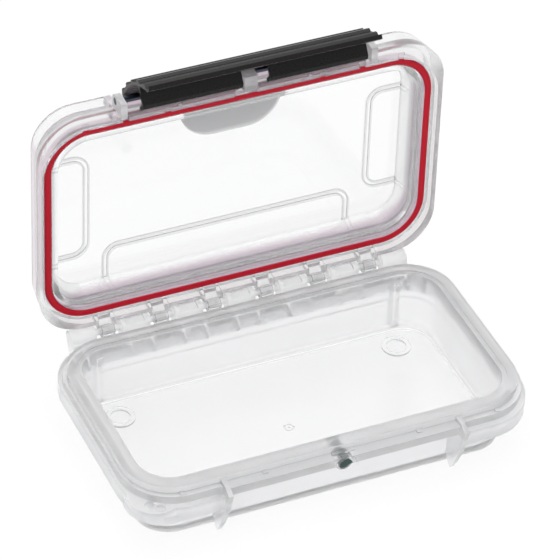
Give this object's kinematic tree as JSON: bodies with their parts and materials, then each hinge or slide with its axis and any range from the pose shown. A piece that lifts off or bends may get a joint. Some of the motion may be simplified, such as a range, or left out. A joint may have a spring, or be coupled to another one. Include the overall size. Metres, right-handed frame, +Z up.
{
  "type": "waterproof box",
  "caption": "Small clear waterproof box with a hinged lid, a rubber seal in the lid, a full-width ridged latch, a purge valve and a cord eye at one corner, shown open and empty.",
  "frame": {"origin": "centre of the tray's underside, in the plane of its four feet", "axes": "+X along the hinge line, to the right as seen from the latch side; +Y from the latch side to the hinge; +Z up from the feet to the open mouth"},
  "size_m": [0.1754, 0.1285, 0.1572],
  "materials": {
    "milky_plastic": "translucent, slightly milky",
    "clear_plastic": "clear, polished",
    "red_rubber": "satin",
    "black_plastic": "fine satin",
    "pin_steel": "drawn",
    "green_plastic": "satin"
  },
  "bodies": {
    "tray": {"base_tray": "milky_plastic", "purge_plug": "green_plastic"},
    "lid": {"lid_cover": "clear_plastic", "lid_seal": "red_rubber", "latch_pin": "pin_steel"},
    "latch": {"latch_cover": "black_plastic"}
  },
  "joints": [
    {"name": "lid_hinge", "type": "hinge", "parent": "tray", "child": "lid", "pos_m": [0, 0.0537, 0.0277], "axis": [1, 0, 0], "range_deg": [-18, 91.4]},
    {"name": "latch_hinge", "type": "hinge", "parent": "lid", "child": "latch", "pos_m": [0, 0.05831, 0.13842], "axis": [1, 0, 0], "range_deg": [-30, 42]}
  ]
}
